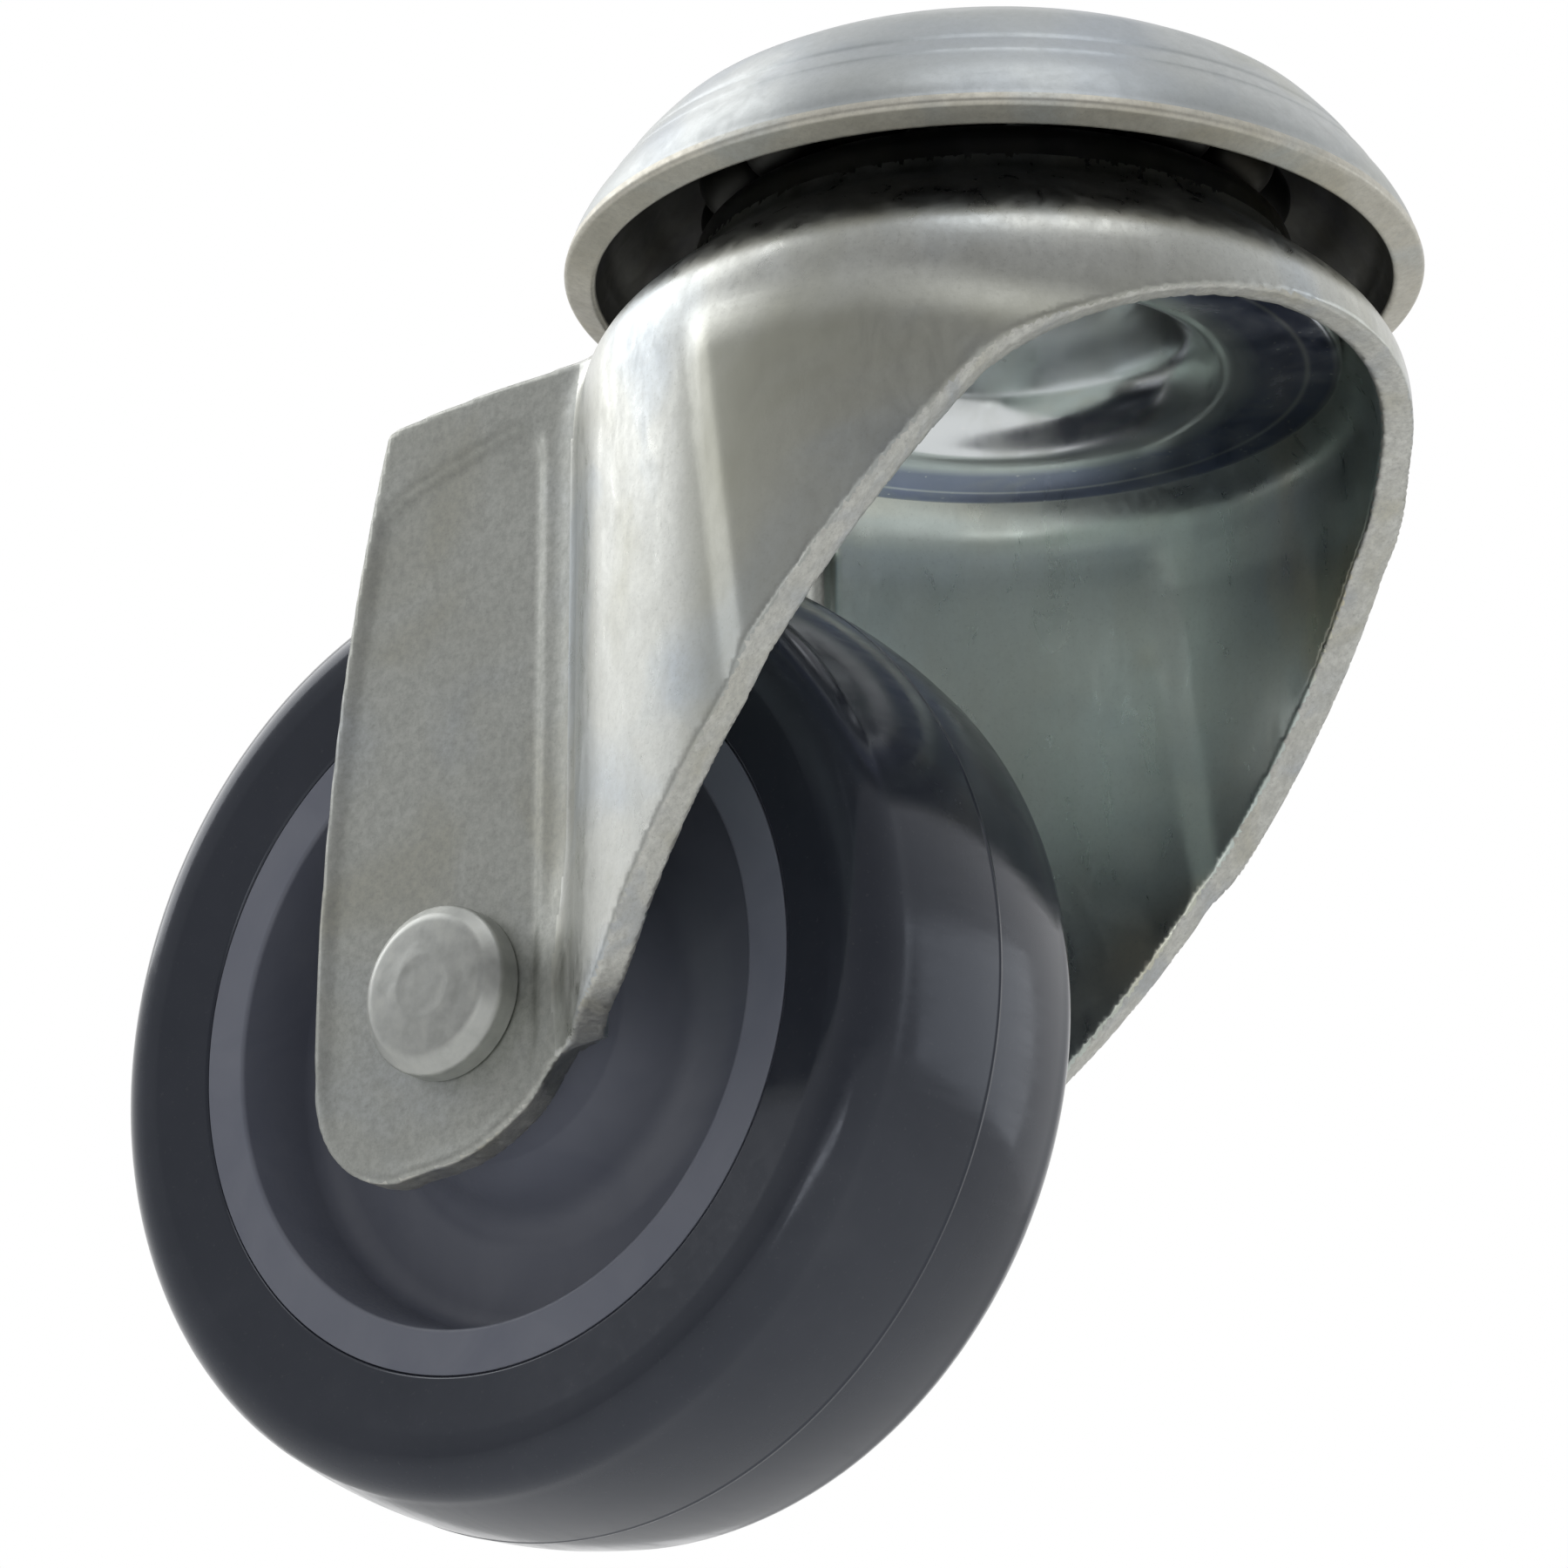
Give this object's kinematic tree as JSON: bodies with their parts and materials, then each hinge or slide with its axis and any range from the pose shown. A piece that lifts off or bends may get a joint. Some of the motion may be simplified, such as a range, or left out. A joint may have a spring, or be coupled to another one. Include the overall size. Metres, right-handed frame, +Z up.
{
  "type": "swivel castor",
  "caption": "Light-duty swivel castor: a round bolt-hole head with ball rows carries a pressed steel fork and a small polyurethane-tyred wheel.",
  "frame": {"origin": "centre of the bolt hole on the flat top face of the head", "axes": "+Z up along the bolt hole, +X forward, the wheel trails towards -X with its axle along Y"},
  "size_m": [0.0714, 0.0428, 0.0685],
  "materials": {
    "cap_steel": "bright zinc plated pressed steel, satin",
    "rivet_steel": "bright zinc plated hollow rivet",
    "race_steel": "bright zinc plated pressed steel, polished by forming",
    "fork_steel": "bright zinc plated pressed steel with faint yellow and blue tints, satin",
    "axle_steel": "zinc plated rivet, heads marked by the riveting tool",
    "sleeve_steel": "drawn steel tube, smooth",
    "ball_steel": "hardened bearing balls, greased",
    "hub_plastic": "moulded grey polypropylene, satin",
    "tyre": "dark grey polyurethane, glossy"
  },
  "bodies": {
    "head": {"top_cap": "cap_steel", "king_rivet": "rivet_steel", "lower_race_cup": "race_steel"},
    "fork_assembly": {"fork": "fork_steel", "axle_rivet": "axle_steel", "axle_sleeve": "sleeve_steel"},
    "wheel": {"hub": "hub_plastic", "tyre": "tyre"},
    "upper_ball_row": {"upper_ball_01": "ball_steel", "upper_ball_02": "ball_steel", "upper_ball_03": "ball_steel", "upper_ball_04": "ball_steel", "upper_ball_05": "ball_steel", "upper_ball_06": "ball_steel", "upper_ball_07": "ball_steel", "upper_ball_08": "ball_steel", "upper_ball_09": "ball_steel", "upper_ball_10": "ball_steel", "upper_ball_11": "ball_steel", "upper_ball_12": "ball_steel", "upper_ball_13": "ball_steel", "upper_ball_14": "ball_steel", "upper_ball_15": "ball_steel"},
    "lower_ball_row": {"lower_ball_01": "ball_steel", "lower_ball_02": "ball_steel", "lower_ball_03": "ball_steel", "lower_ball_04": "ball_steel", "lower_ball_05": "ball_steel", "lower_ball_06": "ball_steel", "lower_ball_07": "ball_steel", "lower_ball_08": "ball_steel", "lower_ball_09": "ball_steel", "lower_ball_10": "ball_steel", "lower_ball_11": "ball_steel", "lower_ball_12": "ball_steel", "lower_ball_13": "ball_steel", "lower_ball_14": "ball_steel", "lower_ball_15": "ball_steel", "lower_ball_16": "ball_steel"}
  },
  "joints": [
    {"name": "swivel", "type": "hinge", "parent": "head", "child": "fork_assembly", "pos_m": [0, 0, 0], "axis": [0, 0, 1], "continuous": true},
    {"name": "wheel_spin", "type": "hinge", "parent": "fork_assembly", "child": "wheel", "pos_m": [-0.025, 0, -0.0435], "axis": [0, 1, 0], "continuous": true},
    {"name": "upper_row_orbit", "type": "hinge", "parent": "head", "child": "upper_ball_row", "pos_m": [0, 0, 0], "axis": [0, 0, 1], "continuous": true},
    {"name": "lower_row_orbit", "type": "hinge", "parent": "head", "child": "lower_ball_row", "pos_m": [0, 0, 0], "axis": [0, 0, 1], "continuous": true}
  ],
  "couplings": [
    {"joint": "upper_row_orbit", "follows": "swivel", "ratio": 0.5},
    {"joint": "lower_row_orbit", "follows": "swivel", "ratio": 0.5}
  ]
}
